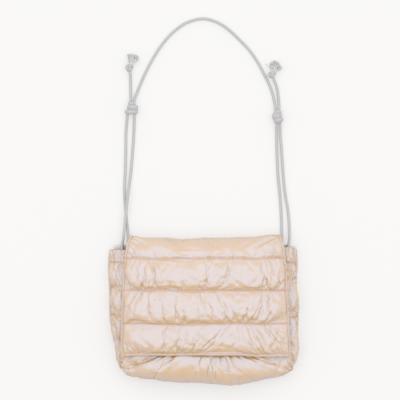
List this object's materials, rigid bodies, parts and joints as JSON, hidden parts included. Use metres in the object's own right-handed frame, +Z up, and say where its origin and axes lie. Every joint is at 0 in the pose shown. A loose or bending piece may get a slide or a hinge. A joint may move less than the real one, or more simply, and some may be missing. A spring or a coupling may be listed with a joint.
{
  "type": "puffer messenger bag",
  "caption": "Quilted puffer messenger bag with a wide front flap, lying on its back, with a knotted shoulder cord that slides to set its length and ends in frayed tails.",
  "frame": {"origin": "on the surface the bag lies on, under the middle of the bag's box without its shoulder cord", "axes": "+X to the right as the bag is seen from the front, across its width; +Y from the bag's bottom to its mouth and strap; +Z up, out of the flap"},
  "size_m": [0.2782, 0.5349, 0.0638],
  "materials": {
    "shell": "pearl-coated thin nylon over wadding, peach with a lavender-white sheen, semi-gloss",
    "lining": "plain light grey woven lining, matte",
    "cord": "braided light grey cord, matte with a faint silky sheen"
  },
  "bodies": {
    "root": {"back_panel": "shell", "front_panel": "shell", "flap": "shell", "left_gusset": "shell", "right_gusset": "shell", "lining": "lining", "left_cord_tab": "lining", "right_cord_tab": "lining", "left_inner_strand": "cord", "left_outer_strand": "cord", "left_tail": "cord", "left_slip_knot": "cord", "left_end_knot": "cord", "strap_arch": "cord", "right_inner_strand": "cord", "right_outer_strand": "cord", "right_tail": "cord", "right_slip_knot": "cord", "right_end_knot": "cord"}
  },
  "joints": []
}
